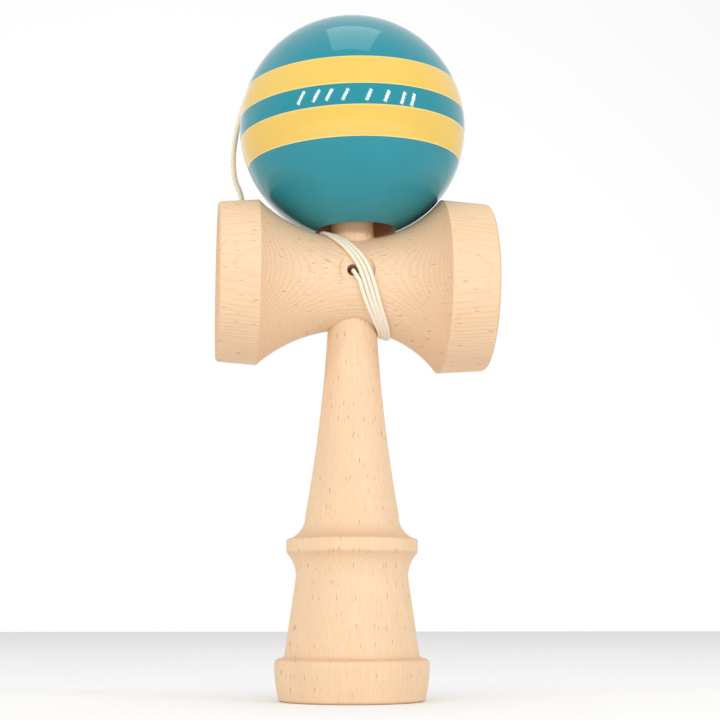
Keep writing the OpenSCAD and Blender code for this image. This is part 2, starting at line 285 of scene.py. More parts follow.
def growth_layers(tree, wood_mm, wood):
    """Growth layers, slightly wavy, from 0 in early wood to 1 on the thin line where each year ends."""
    axes = add_node(tree, "SeparateXYZ", {0: wood_mm}).outputs
    drift_space = add_node(tree, "Mapping", {"Vector": wood_mm,
                                             "Scale": (1 / 60, 1 / 9, 1 / 16)}).outputs[0]
    drift = add_node(tree, "TexNoise", {"Vector": drift_space, "Scale": 1.0, "Detail": 2.0,
                                        "Roughness": 0.45}).outputs[0]
    bowed = add_node(tree, "Math", {0: axes[2], 1: axes[2]}, operation="MULTIPLY").outputs[0]
    depth = add_node(tree, "Math", {0: bowed, 1: 1 / (2 * LAYER_BOW_R), 2: axes[1]},
                     operation="MULTIPLY_ADD").outputs[0]
    depth = add_node(tree, "Math", {0: drift, 1: LAYER_WAVE, 2: depth}, operation="MULTIPLY_ADD").outputs[0]
    years = add_node(tree, "Math", {0: depth, 1: MM / wood.ring_width}, operation="MULTIPLY").outputs[0]
    season = add_node(tree, "Math", {0: years}, operation="FRACT").outputs[0]
    late_wood = add_node(tree, "ValToRGB", {0: season})
    late_wood.color_ramp.elements[0].position = 0.0
    late_wood.color_ramp.elements[0].color = (0.0, 0.0, 0.0, 1.0)
    late_wood.color_ramp.elements[1].position = 1.0
    late_wood.color_ramp.elements[1].color = (0.15, 0.15, 0.15, 1.0)
    for position, shade in ((0.55, 0.12), (0.84, 0.3), (0.92, 1.0)):
        late_wood.color_ramp.elements.new(position).color = (shade, shade, shade, 1.0)
    return late_wood.outputs[0]


def ray_flecks(tree, wood_mm, wood):
    """Ray flecks, from 0 between them to 1 on the darkest. Some are paler, and some cells have none."""
    lengths = (wood.fleck_length / MM, FLECK_DEPTH, FLECK_WIDTH)
    fleck_space = add_node(tree, "Mapping", {
        "Vector": wood_mm, "Scale": [2 * FLECK_EDGE / length for length in lengths]}).outputs[0]
    cell = add_node(tree, "TexVoronoi", {"Vector": fleck_space, "Scale": 1.0, "Randomness": 1.0})
    fleck = add_node(tree, "MapRange", {0: cell.outputs["Distance"], 1: FLECK_FADE, 2: FLECK_EDGE, 3: 1.0,
                                        4: 0.0}, interpolation_type="SMOOTHSTEP").outputs[0]
    darkness = add_node(tree, "SeparateColor", {0: cell.outputs["Color"]}).outputs[0]
    darkness = add_node(tree, "MapRange", {0: darkness, 1: 0.35, 2: 1.0, 3: 0.0, 4: 1.0}).outputs[0]
    return add_node(tree, "Math", {0: fleck, 1: darkness}, operation="MULTIPLY").outputs[0]


def beech(name, grain_turn, grain_index, heart, layer_share, wood):
    """European beech, turned between centres, sanded along the grain and left bare.

    The eye gets a pale pinkish ground, faint growth lines where the turning cuts across the layers,
    short dark ray flecks along the grain and duller, redder end grain. grain_turn brings the grain to
    the pattern's first axis, and grain_index is the object's own axis along it. The growth layers lie
    across the pattern's second axis and bow about the height heart on its third. layer_share is how
    strongly they show.
    """
    material, tree = new_material(name)
    place = add_node(tree, "TexCoord", {})
    wood_mm = add_node(tree, "Mapping", {"Vector": place.outputs["Object"], "Rotation": grain_turn,
                                         "Location": (0.0, 0.0, -heart),
                                         "Scale": (1 / MM, 1 / MM, 1 / MM)}).outputs[0]
    facing = add_node(tree, "SeparateXYZ", {0: place.outputs["Normal"]}).outputs
    late_wood = growth_layers(tree, wood_mm, wood)
    fleck = ray_flecks(tree, wood_mm, wood)

    # Fibres and pores, drawn about a quarter of a millimetre wide so that they show.
    fibre_space = add_node(tree, "Mapping", {"Vector": wood_mm,
                                             "Scale": (1 / 9, 1 / 0.5, 1 / 0.5)}).outputs[0]
    fibre = add_node(tree, "TexNoise", {"Vector": fibre_space, "Scale": 1.0, "Detail": 3.0,
                                        "Roughness": 0.6}).outputs[0]
    tone_space = add_node(tree, "Mapping", {"Vector": wood_mm, "Scale": (1 / 40, 1 / 9, 1 / 9)}).outputs[0]
    tone = add_node(tree, "TexNoise", {"Vector": tone_space, "Scale": 1.0, "Detail": 2.0}).outputs[0]

    # Growth lines show least where the surface runs along the layers.
    flatness = add_node(tree, "Math", {0: facing[1]}, operation="ABSOLUTE").outputs[0]
    layer_show = add_node(tree, "MapRange", {0: flatness, 1: 0.75, 2: 1.0, 3: layer_share,
                                             4: layer_share * 0.3}).outputs[0]
    layer_show = add_node(tree, "Math", {0: late_wood, 1: layer_show}, operation="MULTIPLY").outputs[0]
    fibre_show = add_node(tree, "MapRange", {0: fibre, 1: 0.3, 2: 0.75, 3: 0.0, 4: 0.42}).outputs[0]
    fleck_show = add_node(tree, "Math", {0: fleck, 1: 0.6}, operation="MULTIPLY").outputs[0]
    end_grain = add_node(tree, "Math", {0: facing[grain_index]}, operation="ABSOLUTE").outputs[0]
    end_show = add_node(tree, "MapRange", {0: end_grain, 1: 0.35, 2: 1.0, 3: 0.0, 4: 0.5}).outputs[0]
    colour = wood.colour
    for show, tint in ((tone, wood.deep_colour), (fibre_show, linear("DAB489")),
                       (layer_show, linear("C08A5E")), (fleck_show, linear("A06C3E")),
                       (end_show, linear("D0A279"))):
        colour = add_node(tree, "Mix", {0: show, 6: colour, 7: tint}, data_type="RGBA").outputs[2]

    # Fine rings, half a millimetre apart, that sanding leaves of the turning, and the fibres' relief.
    lathe_space = add_node(tree, "Mapping", {"Vector": wood_mm,
                                             "Scale": (1 / 0.4545, 1 / 50, 1 / 50)}).outputs[0]
    lathe = add_node(tree, "TexNoise", {"Vector": lathe_space, "Scale": 1.0, "Detail": 2.0}).outputs[0]
    relief = add_node(tree, "Math", {0: lathe, 1: 0.3, 2: fibre}, operation="MULTIPLY_ADD").outputs[0]
    relief = add_node(tree, "Math", {0: fleck, 1: -0.5, 2: relief}, operation="MULTIPLY_ADD").outputs[0]
    worn_edge = add_node(tree, "Bevel", {"Radius": 0.3 * MM}, samples=4).outputs[0]
    bump = add_node(tree, "Bump", {"Height": relief, "Strength": 0.35, "Distance": 0.05 * MM,
                                   "Normal": worn_edge}).outputs[0]
    dullness = add_node(tree, "MapRange", {0: fibre, 1: 0.3, 2: 0.7, 3: 0.5, 4: 0.62}).outputs[0]
    shader = add_node(tree, "BsdfPrincipled", {"Base Color": colour, "Roughness": dullness, "IOR": 1.54,
                                               "Specular IOR Level": 0.35, "Normal": bump})
    finish_material(tree, shader)
    return material


def ball_lacquer(ball):
    """Gloss nitrocellulose lacquer, sprayed over turned beech in two colours.

    The eye gets a deep even teal, two warm yellow bands with a painted highlight just inside each edge,
    where the ridge of lacquer left by the masking tape would catch the light, a mirror-like clear coat and
    a trace of orange peel.
    """
    material, tree = new_material("ball_gloss_lacquer")
    place = add_node(tree, "TexCoord", {}).outputs["Object"]
    height = add_node(tree, "SeparateXYZ", {0: place}).outputs[2]
    height = add_node(tree, "Math", {0: height, 1: ball.belt_height}, operation="SUBTRACT").outputs[0]
    height = add_node(tree, "Math", {0: height}, operation="ABSOLUTE").outputs[0]
    middle = (ball.band_inner + ball.band_outer) / 2
    half = (ball.band_outer - ball.band_inner) / 2
    from_middle = add_node(tree, "Math", {0: height, 1: middle}, operation="SUBTRACT").outputs[0]
    from_middle = add_node(tree, "Math", {0: from_middle}, operation="ABSOLUTE").outputs[0]
    edge_soft = 0.04 * MM
    in_band = add_node(tree, "MapRange", {0: from_middle, 1: half - edge_soft, 2: half + edge_soft,
                                          3: 1.0, 4: 0.0}).outputs[0]

    # A painted highlight: a pale line just inside each of a band's edges, where the ridge of lacquer would
    # catch the light.
    glint_inset = 0.12 * MM
    from_glint = add_node(tree, "Math", {0: from_middle, 1: half - glint_inset},
                          operation="SUBTRACT").outputs[0]
    from_glint = add_node(tree, "Math", {0: from_glint}, operation="ABSOLUTE").outputs[0]
    ridge_glint = add_node(tree, "MapRange", {0: from_glint, 1: 0.04 * MM, 2: 0.16 * MM, 3: 0.75,
                                        4: 0.0}).outputs[0]

    cloud_space = add_node(tree, "Mapping", {"Vector": place, "Scale": repeats(16.67)}).outputs[0]
    cloud = add_node(tree, "TexNoise", {"Vector": cloud_space, "Scale": 1.0, "Detail": 2.0}).outputs[0]
    ground = add_node(tree, "Mix", {0: cloud, 6: ball.ground_colour, 7: ball.ground_cloud},
                      data_type="RGBA").outputs[2]
    band = add_node(tree, "Mix", {0: cloud, 6: ball.band_colour, 7: ball.band_cloud},
                    data_type="RGBA").outputs[2]
    # Painted highlight: the pale line along each band's edge is mixed into the band's colour here.
    band = add_node(tree, "Mix", {0: ridge_glint, 6: band, 7: linear("FFDD95")}, data_type="RGBA").outputs[2]
    colour = add_node(tree, "Mix", {0: in_band, 6: ground, 7: band}, data_type="RGBA").outputs[2]

    # Orange peel: dimples about a millimetre apart.
    peel_space = add_node(tree, "Mapping", {"Vector": place, "Scale": repeats(1.111)}).outputs[0]
    peel = add_node(tree, "TexNoise", {"Vector": peel_space, "Scale": 1.0, "Detail": 1.0}).outputs[0]
    bump = add_node(tree, "Bump", {"Height": peel, "Strength": 0.05, "Distance": 0.02 * MM}).outputs[0]
    shader = add_node(tree, "BsdfPrincipled", {
        "Base Color": colour, "Roughness": 0.4, "IOR": 1.5, "Specular IOR Level": 0.1, "Coat Weight": 1.0,
        "Coat Roughness": 0.045, "Coat IOR": 1.5, "Normal": bump, "Coat Normal": bump})
    finish_material(tree, shader)
    return material


def drilled_beech():
    """Beech left bare where the ball was drilled.

    The eye gets a browner, duller wood than the outside of a turning, with the drill's fine rings.
    """
    material, tree = new_material("ball_drilled_beech")
    place = add_node(tree, "TexCoord", {}).outputs["Object"]
    ring_space = add_node(tree, "Mapping", {"Vector": place, "Scale": repeats(25, 25, 0.625)}).outputs[0]
    rings = add_node(tree, "TexNoise", {"Vector": ring_space, "Scale": 1.0, "Detail": 3.0}).outputs[0]
    fibre_space = add_node(tree, "Mapping", {"Vector": place, "Scale": repeats(0.67, 0.67, 8.3)}).outputs[0]
    fibre = add_node(tree, "TexNoise", {"Vector": fibre_space, "Scale": 1.0, "Detail": 3.0}).outputs[0]
    colour = add_node(tree, "Mix", {0: fibre, 6: linear("D0A176"), 7: linear("B07F55")},
                      data_type="RGBA").outputs[2]
    bump = add_node(tree, "Bump", {"Height": rings, "Strength": 0.5, "Distance": 0.06 * MM}).outputs[0]
    shader = add_node(tree, "BsdfPrincipled", {"Base Color": colour, "Roughness": 0.7, "IOR": 1.54,
                                               "Specular IOR Level": 0.3, "Normal": bump})
    finish_material(tree, shader)
    return material


def bead_paint():
    """Satin paint on a small turned wooden bead, which shows a little grain through it."""
    material, tree = new_material("bead_satin_paint")
    place = add_node(tree, "TexCoord", {}).outputs["Object"]
    grain_space = add_node(tree, "Mapping", {"Vector": place, "Scale": repeats(0.4, 0.4, 5)}).outputs[0]
    grain = add_node(tree, "TexNoise", {"Vector": grain_space, "Scale": 1.0, "Detail": 3.0}).outputs[0]
    colour = add_node(tree, "Mix", {0: grain, 6: linear("B8472F"), 7: linear("9C3B27")},
                      data_type="RGBA").outputs[2]
    bump = add_node(tree, "Bump", {"Height": grain, "Strength": 0.3, "Distance": 0.05 * MM}).outputs[0]
    shader = add_node(tree, "BsdfPrincipled", {"Base Color": colour, "Roughness": 0.4, "IOR": 1.5,
                                               "Normal": bump})
    finish_material(tree, shader)
    return material


def string_braid(string):
    """Braided polyester string, undyed.

    The eye gets an off-white with a soft silky lustre, and painted shade, a darker colour, where the
    strands dive under each other. The mesh's own "crown" values say where that is.
    """
    material, tree = new_material("string_polyester_braid")
    place = add_node(tree, "TexCoord", {}).outputs["Object"]
    crown = add_node(tree, "Attribute", {}, attribute_name="crown").outputs["Fac"]
    fuzz_space = add_node(tree, "Mapping", {"Vector": place, "Scale": repeats(0.385)}).outputs[0]
    fuzz = add_node(tree, "TexNoise", {"Vector": fuzz_space, "Scale": 1.0, "Detail": 3.0}).outputs[0]
    # Painted shade: the colour darkens towards the shade colour where the braid is low between its strands.
    shade = add_node(tree, "MapRange", {0: crown, 1: 0.0, 2: 0.75, 3: 0.6, 4: 0.0}).outputs[0]
    colour = add_node(tree, "Mix", {0: shade, 6: string.colour, 7: string.gap_shade_colour},
                      data_type="RGBA").outputs[2]
    fuzz_share = add_node(tree, "Math", {0: fuzz, 1: 0.3}, operation="MULTIPLY").outputs[0]
    colour = add_node(tree, "Mix", {0: fuzz_share, 6: colour, 7: linear("E4D3B6")},
                      data_type="RGBA").outputs[2]
    bump = add_node(tree, "Bump", {"Height": fuzz, "Strength": 0.4, "Distance": 0.04 * MM}).outputs[0]
    shader = add_node(tree, "BsdfPrincipled", {
        "Base Color": colour, "Roughness": 0.6, "IOR": 1.5, "Sheen Weight": 0.3, "Sheen Roughness": 0.4,
        "Normal": bump})
    finish_material(tree, shader)
    return material


def studio_paper():
    """Matt white paper, which gives the eye an even white with a faint tooth."""
    material, tree = new_material("studio_white_paper")
    place = add_node(tree, "TexCoord", {}).outputs["Object"]
    tooth_space = add_node(tree, "Mapping", {"Vector": place, "Scale": repeats(3.33)}).outputs[0]
    tooth = add_node(tree, "TexNoise", {"Vector": tooth_space, "Scale": 1.0, "Detail": 2.0}).outputs[0]
    colour = add_node(tree, "Mix", {0: tooth, 6: linear("F8F8F8"), 7: linear("F4F4F4")},
                      data_type="RGBA").outputs[2]
    shader = add_node(tree, "BsdfPrincipled", {"Base Color": colour, "Roughness": 0.9,
                                               "Specular IOR Level": 0.1})
    finish_material(tree, shader)
    return material


# ---- mesh making ----
# Edges sharper than this are shaded as edges.
SHARP_ANGLE = math.radians(35)
# Distance between the rings of a string's mesh, in millimetres.
RING_SPACING = 0.3
# Bevel at the mouth of the ball's spike hole and flare at the top of its string hole, in metres.
MOUTH_BEVEL = 0.6 * MM
TOP_FLARE = 1.5 * MM


def new_object(name, verts, faces, materials, smooth=True):
    """A new mesh object of these points and faces, which raises an error if its mesh has faults."""
    mesh = bpy.data.meshes.new(name)
    mesh.from_pydata(verts, [], faces)
    if mesh.validate():
        raise RuntimeError(f"{name}: the mesh has faults")
    mesh.polygons.foreach_set("use_smooth", [smooth] * len(mesh.polygons))
    obj = bpy.data.objects.new(name, mesh)
    bpy.context.collection.objects.link(obj)
    for material in materials:
        mesh.materials.append(material)
    return obj


def arc(centre, radius, start, end, steps):
    """Points (r, z) along an arc from the start angle to the end angle, in degrees."""
    angles = [math.radians(start + (end - start) * i / steps) for i in range(steps + 1)]
    return [(centre[0] + radius * math.cos(a), centre[1] + radius * math.sin(a)) for a in angles]


def straight(start, end, steps):
    """Points (r, z) along a straight line to its end, without its start."""
    return [(start[0] + (end[0] - start[0]) * i / steps, start[1] + (end[1] - start[1]) * i / steps)
            for i in range(1, steps + 1)]


def turned(profile, segments):
    """The points and faces of a closed profile (r, z) turned once round the Z axis."""
    verts = []
    for i in range(segments):
        turn = 2 * math.pi * i / segments
        verts += [(r * math.cos(turn), r * math.sin(turn), z) for r, z in profile]
    count = len(profile)
    faces = []
    for i in range(segments):
        here = i * count
        there = (i + 1) % segments * count
        for k in range(count):
            after = (k + 1) % count
            faces.append((here + k, there + k, there + after, here + after))
    return verts, faces


def placed_along(axis, middle):
    """The transform that takes a shape made about the Z axis to this axis and this middle."""
    return Matrix.Translation(middle) @ axis.to_track_quat("Z", "Y").to_matrix().to_4x4()


# ---- the string's route, in millimetres ----
def flank_radius(edge):
    """Radius of the neck's curve that ends in a cup's edge (x, r)."""
    rise = edge[1] - NECK_R
    return (edge[0] ** 2 + rise ** 2) / (2 * rise)


def neck_surface(x):
    """Radius of the crosspiece at x, as far as the edge of either cup."""
    edge = SMALL_EDGE if x < 0 else BIG_EDGE
    flank = flank_radius(edge)
    return NECK_R + flank - math.sqrt(flank ** 2 - min(abs(x), edge[0]) ** 2)


def by_neck(x, angle, lift):
    """A point beside the neck: how far along it, the angle round it and the distance from its wood."""
    turn = math.radians(angle)
    r = neck_surface(x) + lift
    return Vector((x, -r * math.sin(turn), CROSS_Z + r * math.cos(turn)))


def by_ball(turn, up, gap):
    """A point beside the ball: compass angle, angle above its middle and gap above the lacquer."""
    turn = math.radians(turn)
    up = math.radians(up)
    r = BALL_R + CORD_R + gap
    way = Vector((math.cos(up) * math.cos(turn), math.cos(up) * math.sin(turn), math.sin(up)))
    return BALL_CENTRE + way * r


def on_ball_axis(height):
    """A point on the ball's own axis, at a height above its middle."""
    return BALL_CENTRE + BALL_AXIS * height


def band_x(angle):
    """Middle of the winding along the neck, at an angle from the top of the neck, forwards and down."""
    turn = math.radians(angle % 360)
    x = BAND_LEFT + (BAND_RIGHT - BAND_LEFT) * (1 - math.cos(turn)) / 2
    if turn < math.pi:
        x += math.sin(turn) ** 2 * (BAND_SAG + BAND_SKEW * math.cos(turn))
    return x


def band_stretch(angle):
    """How much wider a strand is along the neck than across itself, because it runs at a slant."""
    slope = (band_x(angle + 1) - band_x(angle - 1)) / (2 * NECK_R * math.radians(1))
    return math.sqrt(1 + slope ** 2)


# Where the string lies in the winding, at the end of each stretch: the angle that it has gone round,
# its offset from the winding's middle and its lift above the wood. The wraps lie side by side, close
# together where they pass the grip, at 180 degrees, and the spike, at 360. The last one crosses over.
WINDING = [
    (98, -2.25, 0), (180, -1.2, 0), (270, -1.65, 0), (360, -0.9, 0),
    (450, -1.12, 0), (540, -0.4, 0), (630, -0.55, 0), (720, 0, 0),
    (810, 0, 0), (900, 0.4, 0), (990, 0.55, 0), (1080, 0.9, 0),
    (1170, 1.12, 0), (1260, 1.2, 0), (1305, 1.5, 0.1), (1335, 1.0, 1.1), (1355, 0.3, 1.3),
]
# Degrees between the points of the winding's route.
WINDING_STEP = 5

# Through the front hole, from the knot to the neck's surface: x, y and height above the knot's.
LEAD = [(0, STEM_KNOT_LOW.y, 0), (0, -1, 0), (-0.3, -6.45, 0), (-0.8, -9.4, 0.4), (-1.0, -11.4, 0.45),
        (-0.8, -12.6, -0.2)]

# Slack behind the small cup: share of the way to its edge, angle round the neck and gap above the wood.
RUN_START = (0.06, 285, 1.83)
RUN_BY_NECK = [
    RUN_START, (0.12, 293, 2.6), (0.19, 300, 3.9), (0.28, 303, 4.8), (0.37, 301, 4.6), (0.46, 292, 3.5),
    (0.54, 280, 2.6), (0.62, 266, 2.6), (0.71, 254, 3.6), (0.81, 246, 4.7), (0.9, 243, 5.0),
    (1.0, 244, 3.9), (1.06, 250, 3.0), (1.08, 262, 1.6), (1.08, 276, 0.9), (1.08, 291, 1.1),
    (1.09, 306, 2.4), (1.11, 319, 4.8),
]
# Up the ball: compass angle, angle above its middle and gap above the lacquer.
RUN_BY_BALL = [
    (152, -25, 5.4), (155, -18, 4.8), (157, -11.5, 3.9), (159, -5, 2.8), (160, 2, 1.9), (161, 10, 1.2),
    (162, 19, 0.7), (162, 28, 0.4), (162, 39, 0.3), (162, 50, 0.4), (162, 61, 0.6), (162, 71, 0.9),
    (163, 78.5, 1.2), (165, 83, 1.0), (169, 86, 0.1),
]
# Down the ball's axis through its roof: heights above its middle. The string ends this far below the
# bead's middle, at its knot.
RUN_IN_BALL = (BALL_R - 1, BALL_R - 4, 20, 16)
BEAD_TO_KNOT = 2.5


def winding_route():
    """The string from its knot, out of the front hole and three times and more round the neck."""
    route = [Vector((x, y, CROSS_HOLE_Z + rise)) for x, y, rise in LEAD]
    for (angle, offset, lift), (next_angle, next_offset, next_lift) in zip(WINDING, WINDING[1:]):
        steps = round((next_angle - angle) / WINDING_STEP)
        for i in range(steps):
            share = i / steps
            ease = (1 - math.cos(math.pi * share)) / 2
            here = angle + (next_angle - angle) * share
            x = band_x(here) + (offset + (next_offset - offset) * ease) * band_stretch(here)
            route.append(by_neck(x, here, CORD_GAP + TIGHT_R + lift + (next_lift - lift) * ease))
    return route + run_route()[:1]


def run_route():
    """The string from the back of the winding, slack behind the small cup and up into the ball."""
    share, angle, gap = zip(*RUN_BY_NECK)
    route = [by_neck(-SMALL_EDGE[0] * s, a, g + CORD_R) for s, a, g in zip(share, angle, gap)]
    route += [by_ball(*place) for place in RUN_BY_BALL]
    knot_height = (BEAD_LOW.z + BEAD_HIGH.z) / 2 - BALL_CENTRE.z - BEAD_TO_KNOT
    return route + [on_ball_axis(height) for height in (*RUN_IN_BALL, knot_height)]


def curve_through(points):
    """Points close together on a smooth line through these points."""
    fine = []
    steps = 12
    last = len(points) - 1
    for i in range(last):
        a, b, c, d = points[max(i - 1, 0)], points[i], points[i + 1], points[min(i + 2, last)]
        for k in range(steps):
            t = k / steps
            fine.append(0.5 * (2 * b + (c - a) * t + (2 * a - 5 * b + 4 * c - d) * t ** 2
                               + (3 * b - 3 * c + d - a) * t ** 3))
    return fine + [points[last]]


def evenly(points, spacing):
    """Points at equal distances along the line through these points."""
    travelled = [0.0]
    for a, b in zip(points, points[1:]):
        travelled.append(travelled[-1] + (b - a).length)
    count = max(2, round(travelled[-1] / spacing))
    result = []
    i = 0
    for k in range(count + 1):
        target = travelled[-1] * k / count
        while i < len(points) - 2 and travelled[i + 1] < target:
            i += 1
        share = (target - travelled[i]) / max(travelled[i + 1] - travelled[i], 1e-9)
        result.append(points[i].lerp(points[i + 1], min(share, 1.0)))
    return result


def tight_radii(count, radius):
    """The radius at each ring of the winding: tight, and eased to the free radius at both ends."""
    ease_rings = 40
    last = count - 1
    free = [max(0.0, 1 - i / ease_rings, 1 - (last - i) / ease_rings) for i in range(count)]
    return [TIGHT_R + (radius - TIGHT_R) * share for share in free]


def braid_crown(turn, along, strands):
    """Height of the braid's surface, 0 between strands to 1 on a crown.

    turn is the share of a turn round the string and along is the number of lays along it.
    """
    one_way = strands * (turn + along)
    other_way = strands * (turn - along)
    over = (math.floor(one_way) + math.floor(other_way)) % 2 == 0
    across = (one_way if over else other_way) % 1
    lengthways = (other_way if over else one_way) % 1
    return math.sqrt(max(0.0, 1 - (2 * across - 1) ** 2)) * (0.55 + 0.45 * math.sin(math.pi * lengthways))


def braided_tube(name, centres, radii, string, material, closed=False):
    """A braided string along points in millimetres, with its strands as relief in the mesh.

    The mesh's "crown" values hold the braid's height for the material, which paints shade where it is low.
    """
    sides = string.strands * 6
    count = len(centres)
    lay = string.lay / MM
    relief = string.relief / MM
    verts = []
    crowns = []
    across = Vector((0.3, 0.2, 1.0))
    along = 0.0
    for i, centre in enumerate(centres):
        before = centres[(i - 1) % count] if closed else centres[max(i - 1, 0)]
        after = centres[(i + 1) % count] if closed else centres[min(i + 1, count - 1)]
        tangent = (after - before).normalized()
        across = (across - tangent * across.dot(tangent)).normalized()
        beside = tangent.cross(across)
        if i:
            along += (centre - centres[i - 1]).length
        for k in range(sides):
            turn = k / sides
            crown = braid_crown(turn, along / lay, string.strands)
            crowns.append(crown)
            angle = 2 * math.pi * turn
            r = radii[i] - relief * (1 - crown)
            verts.append((centre + r * (math.cos(angle) * across + math.sin(angle) * beside)) * MM)
    faces = []
    for i in range(count if closed else count - 1):
        here = i * sides
        there = (i + 1) % count * sides
        for k in range(sides):
            m = (k + 1) % sides
            faces.append((here + k, here + m, there + m, there + k))
    if not closed:
        faces.append(tuple(range(sides - 1, -1, -1)))
        faces.append(tuple(range((count - 1) * sides, count * sides)))
    obj = new_object(name, verts, faces, [material])
    obj.data.attributes.new("crown", "FLOAT", "POINT").data.foreach_set("value", crowns)
    return obj


def overhand_knot(name, node, axis, string, material):
    """A tight overhand knot in the place of a CAD node, round the axis. Its sizes are millimetres."""
    low, high = node_box(node)
    place = placed_along(axis, (low + high) / 2)
    loop_r = 0.42
    rise = 0.9
    tube_r = 0.62
    steps = 90
    points = []
    for i in range(steps):
        t = 2 * math.pi * i / steps
        x = loop_r * (math.sin(t) + 2 * math.sin(2 * t))
        y = loop_r * (math.cos(t) - 2 * math.cos(2 * t))
        points.append(place @ Vector((x, y, -rise * math.sin(3 * t))))
    return braided_tube(name, points, [tube_r] * steps, string, material, closed=True)


def stop_bead(string):
    """The barrel-shaped bead inside the ball that the string is knotted under."""
    half_height = string.bead_height / 2
    middle_r = string.bead_diameter / 2
    hole_r = string.diameter / 2 + 0.2 * MM
    bulge = middle_r * 0.11
    side_r = (half_height ** 2 + bulge ** 2) / (2 * bulge)
    side_turn = math.degrees(math.asin(half_height / side_r))
    side = arc((middle_r - side_r, 0), side_r, -side_turn, side_turn, 24)
    lip = 0.3 * MM
    bore = [(hole_r + lip, half_height), (hole_r, half_height - lip), (hole_r, lip - half_height),
            (hole_r + lip, -half_height)]
    verts, faces = turned(side + bore, 72)
    bead = new_object("stop_bead", verts, faces, [bead_paint()])
    bead.data.set_sharp_from_angle(angle=SHARP_ANGLE)
    bead.matrix_world = placed_along(BALL_AXIS, (BEAD_LOW + BEAD_HIGH) / 2 * MM)
    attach(bead, STRING_BODY)
    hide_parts("tama_bead")
    return bead


def ball_profile(ball):
    """The ball's closed outline (r, z) in metres: outside, spike hole, roof and string hole."""
    radius = BALL_R * MM
    mouth_r = ball.spike_hole + MOUTH_BEVEL
    flare_r = ball.string_hole + TOP_FLARE
    top_angle = math.degrees(math.acos(flare_r / radius))
    mouth_angle = -math.degrees(math.acos(mouth_r / radius))
    outside = arc((0, 0), radius, top_angle, mouth_angle, 150)
    wall_foot = (ball.spike_hole, outside[-1][1] + MOUTH_BEVEL)
    wall = straight(wall_foot, (ball.spike_hole, ball.hole_top), 24)
    roof = [(ball.spike_hole * 0.6, ball.hole_top), (ball.string_hole, ball.hole_top)]
    bore_top = (ball.string_hole, math.sqrt(radius ** 2 - flare_r ** 2) - TOP_FLARE)
    return outside + [wall_foot] + wall + roof + straight(roof[-1], bore_top, 8)


# ---- stage ----
# A softbox over the object, in metres.
OVERHEAD_PLACE = (-0.01, -0.06, 1.15)
OVERHEAD_SIZE = (0.5, 0.7)
# Strip lights in an arc in front of the ball, in metres, rolled so that their glints slant. Their turns
# are degrees from straight in front towards the big cup, and they rise by this share of the way out.
STRIP_DISTANCE = 1.2
STRIP_SIZE = (0.06, 0.26)
STRIP_TURNS = (-58, -42, -29, -13, 10, 28, 45, 56)
STRIP_RISE = 0.3
STRIP_ROLL = -25


def studio_world():
    """A white backdrop behind the object and a greyer room in front of it."""
    world = bpy.data.worlds.new("studio_room")
    world.use_nodes = True
    tree = world.node_tree
    tree.nodes.clear()
    toward = add_node(tree, "TexCoord", {}).outputs["Generated"]
    depth = add_node(tree, "SeparateXYZ", {0: toward}).outputs[1]
    depth = add_node(tree, "MapRange", {0: depth, 1: -1.0, 2: 1.0, 3: 0.0, 4: 1.0}).outputs[0]
    room = add_node(tree, "ValToRGB", {0: depth})
    room.color_ramp.elements[0].position = 0.15
    room.color_ramp.elements[0].color = (0.6, 0.6, 0.6, 1.0)
    room.color_ramp.elements[1].position = 0.965
    room.color_ramp.elements[1].color = (1.0, 1.0, 1.0, 1.0)
    for position in (0.6, 0.88):
        room.color_ramp.elements.new(position).color = (0.84, 0.84, 0.84, 1.0)
    sky = add_node(tree, "Background", {"Color": room.outputs[0], "Strength": 1.0})
    add_node(tree, "OutputWorld", {"Surface": sky.outputs[0]})
    bpy.context.scene.world = world


def light_panel(name, size, glow):
    """The data of a rectangular light of this size and this radiance."""
    data = bpy.data.lights.new(name, "AREA")
    data.shape = "RECTANGLE"
    data.size, data.size_y = size
    data.energy = glow * math.pi * size[0] * size[1]
    return data


def hang_light(data, place, roll=0.0):
    """Hangs a light there, aimed at the ball and rolled this many degrees about its aim."""
    lamp = bpy.data.objects.new(data.name, data)
    lamp.location = place
    aim = (BALL_CENTRE * MM - Vector(place)).to_track_quat("-Z", "Y").to_matrix()
    lamp.rotation_euler = (aim @ Matrix.Rotation(math.radians(roll), 3, "Z")).to_euler()
    bpy.context.collection.objects.link(lamp)


# ---- operators, one for each piece or group of like pieces ----
class KENDAMA_OT_string(Operator):
    """Build the string: its winding, its run up the ball, the knot at each end and the stop bead"""

    bl_idname = "kendama.string"
    bl_label = "String"

    def execute(self, context):
        string = context.scene.kendama_string
        radius = string.diameter / MM / 2
        braid = string_braid(string)

        stem_knot = overhand_knot("string_knot_in_handle", "stem_knot", Vector((0, 1, 0)), string, braid)
        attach(stem_knot, HANDLE_BODY)
        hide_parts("stem_knot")
        winding_line = evenly(curve_through(winding_route()), RING_SPACING)
        radii = tight_radii(len(winding_line), radius)
        winding = braided_tube("string_winding", winding_line, radii, string, braid)
        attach(winding, HANDLE_BODY)
        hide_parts("cord_lead", "cord_winding")

        bead = stop_bead(string)
        ball_knot = overhand_knot("string_knot_in_ball", "tama_knot", BALL_AXIS, string, braid)
        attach(ball_knot, STRING_BODY)
        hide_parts("tama_knot")
        run_line = evenly(curve_through(run_route()), RING_SPACING)
        run = braided_tube("string_run", run_line, [radius] * len(run_line), string, braid)
        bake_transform(run)
        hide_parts("cord_run")
        return {"FINISHED"}


